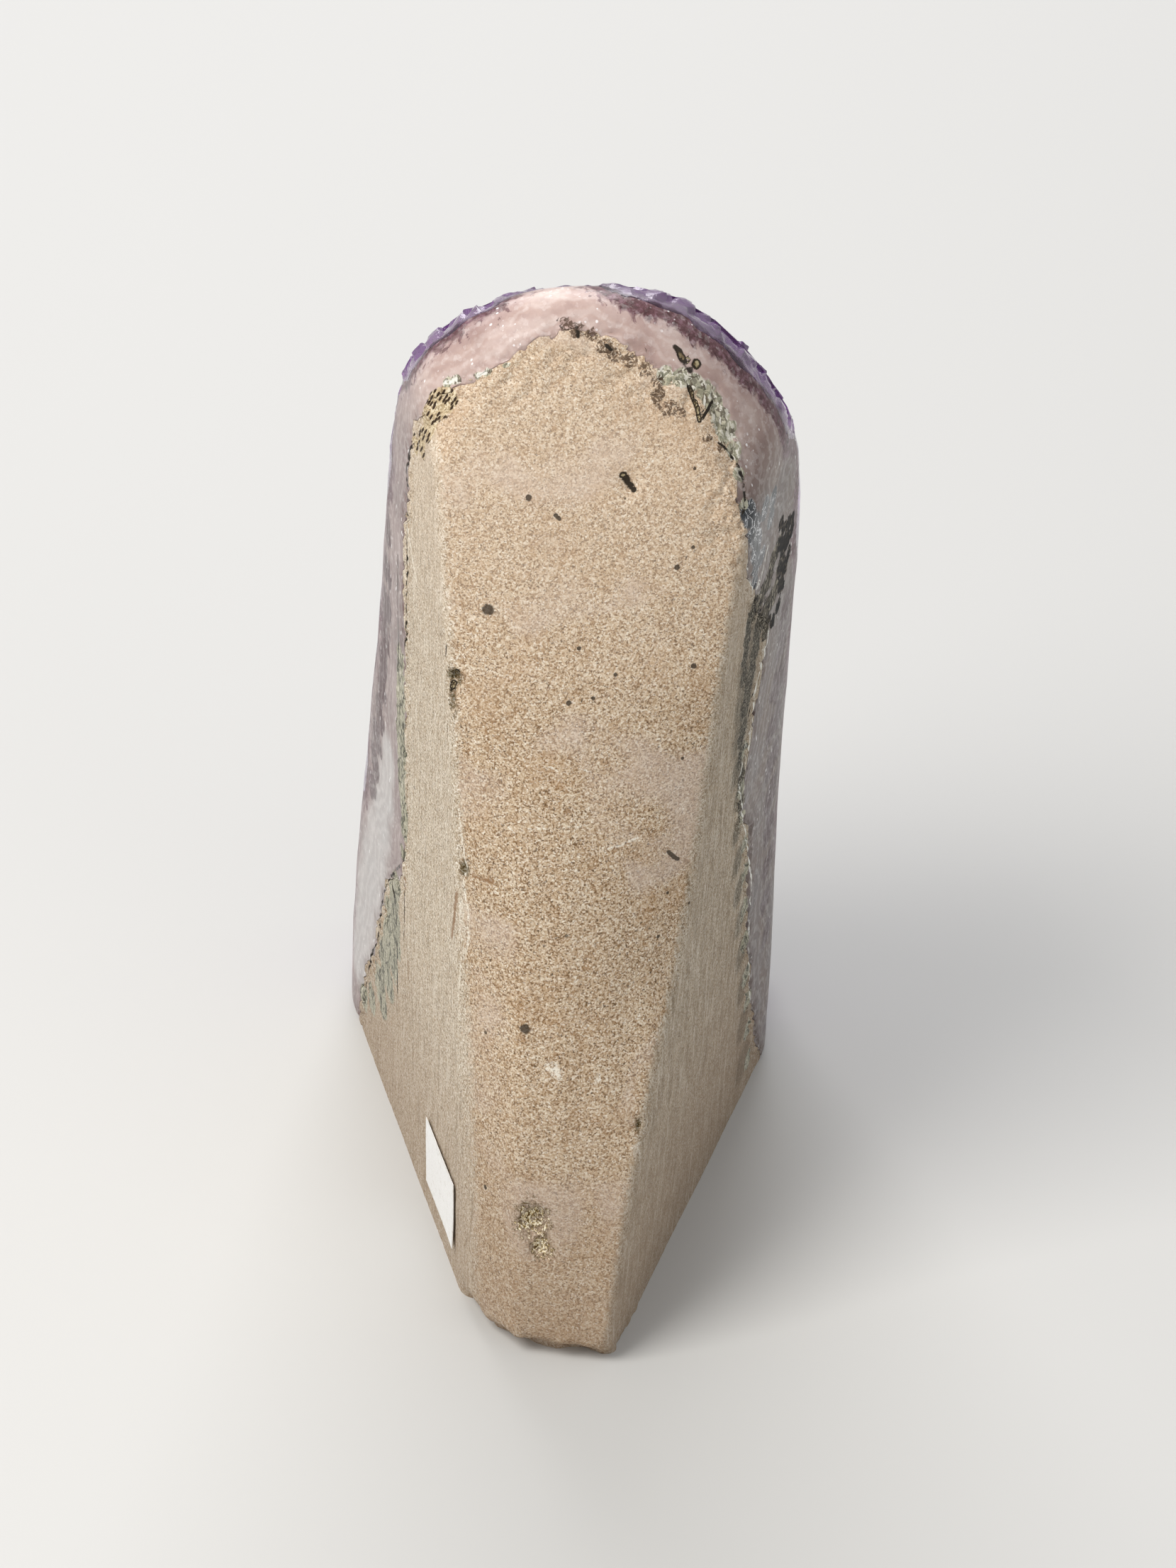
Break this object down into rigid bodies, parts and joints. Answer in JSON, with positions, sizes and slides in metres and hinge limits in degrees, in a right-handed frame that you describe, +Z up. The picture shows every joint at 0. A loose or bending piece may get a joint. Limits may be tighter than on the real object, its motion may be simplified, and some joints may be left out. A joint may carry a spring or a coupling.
{
  "type": "amethyst cluster",
  "caption": "Free-standing mineral specimen: purple crystal points on a polished agate band over a ground basalt back, with a flat sawn foot.",
  "frame": {"origin": "middle of the bounding box in plan, at the height of the flat sawn foot", "axes": "+Z up out of the foot; the crystals face -Y, the ground basalt back faces +Y, and +X is on the left as seen from the back"},
  "size_m": [0.072, 0.1172, 0.1683],
  "materials": {
    "basalt": "ground, matt and speckled",
    "agate": "polished",
    "amethyst": "natural crystal faces, polished at the rim",
    "sticker_paper": "matt white, blank"
  },
  "bodies": {
    "root": {"basalt_matrix": "basalt", "agate_band": "agate", "amethyst_crystals": "amethyst", "paper_sticker": "sticker_paper"}
  },
  "joints": []
}
